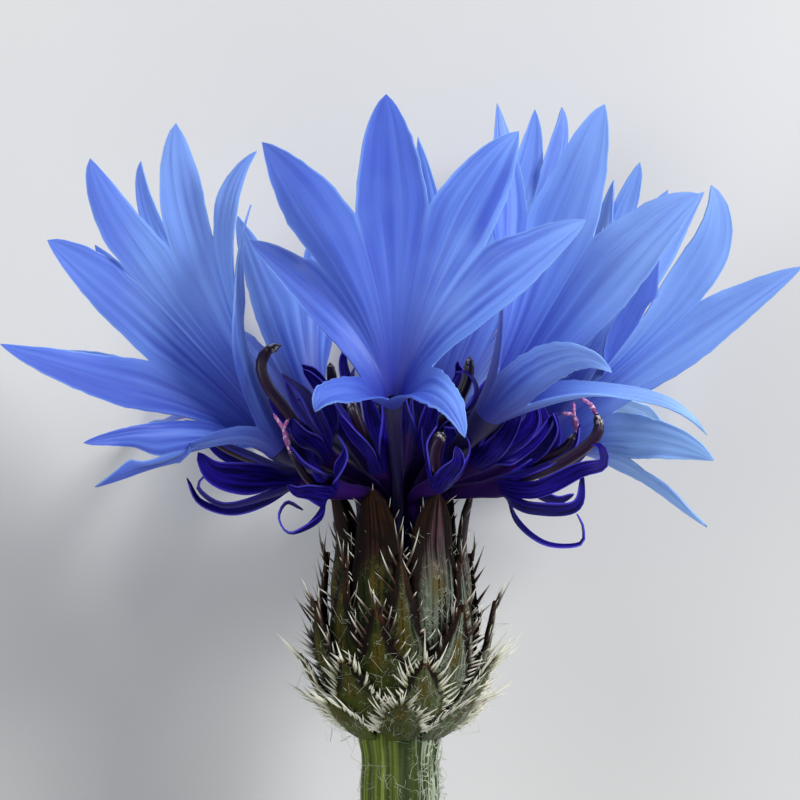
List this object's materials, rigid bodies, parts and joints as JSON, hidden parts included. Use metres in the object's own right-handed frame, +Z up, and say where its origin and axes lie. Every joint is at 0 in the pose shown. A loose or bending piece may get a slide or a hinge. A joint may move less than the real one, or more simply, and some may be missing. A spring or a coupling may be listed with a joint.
{
  "type": "cornflower",
  "caption": "Cut cornflower lying on its side: lobed blue ray trumpets and violet disc florets over a cup of fringed bracts, on a short curved stem.",
  "frame": {"origin": "centre of the flower's bounding box across and along, on the surface it lies on", "axes": "+Y along the flower's own axis, from the cut end of the stem to the tips of the ray florets; +X to the flower's right as seen from above; +Z up from the surface"},
  "size_m": [0.04, 0.0677, 0.0274],
  "materials": {
    "stem": "ribbed green stem with thin white wool, matt",
    "bract": "leathery green scale with a dark brown margin and pale bristles, satin",
    "ray_floret": "thin translucent blue petal with fine lengthwise veins, satin",
    "disc_floret": "deep violet corolla with a dark purple anther tube, satin"
  },
  "bodies": {
    "root": {"stem_and_receptacle": "stem", "bract_1_1": "bract", "bract_1_2": "bract", "bract_1_3": "bract", "bract_1_4": "bract", "bract_1_5": "bract", "bract_1_6": "bract", "bract_1_7": "bract", "bract_2_1": "bract", "bract_2_2": "bract", "bract_2_3": "bract", "bract_2_4": "bract", "bract_2_5": "bract", "bract_2_6": "bract", "bract_2_7": "bract", "bract_3_1": "bract", "bract_3_2": "bract", "bract_3_3": "bract", "bract_3_4": "bract", "bract_3_5": "bract", "bract_3_6": "bract", "bract_3_7": "bract", "bract_4_1": "bract", "bract_4_2": "bract", "bract_4_3": "bract", "bract_4_4": "bract", "bract_4_5": "bract", "bract_4_6": "bract", "bract_4_7": "bract", "bract_5_1": "bract", "bract_5_2": "bract", "bract_5_3": "bract", "bract_5_4": "bract", "bract_5_5": "bract", "bract_5_6": "bract", "bract_5_7": "bract", "ray_floret_front": "ray_floret", "ray_floret_front_right": "ray_floret", "ray_floret_right": "ray_floret", "ray_floret_under_right": "ray_floret", "ray_floret_under": "ray_floret", "ray_floret_under_left": "ray_floret", "ray_floret_left_low": "ray_floret", "ray_floret_left": "ray_floret", "disc_floret_outer_1": "disc_floret", "disc_floret_outer_2": "disc_floret", "disc_floret_outer_3": "disc_floret", "disc_floret_outer_4": "disc_floret", "disc_floret_outer_5": "disc_floret", "disc_floret_outer_6": "disc_floret", "disc_floret_outer_7": "disc_floret", "disc_floret_outer_8": "disc_floret", "disc_floret_inner_1": "disc_floret", "disc_floret_inner_2": "disc_floret", "disc_floret_inner_3": "disc_floret", "disc_floret_inner_4": "disc_floret", "disc_floret_inner_5": "disc_floret", "disc_floret_inner_6": "disc_floret", "disc_floret_centre": "disc_floret"}
  },
  "joints": []
}
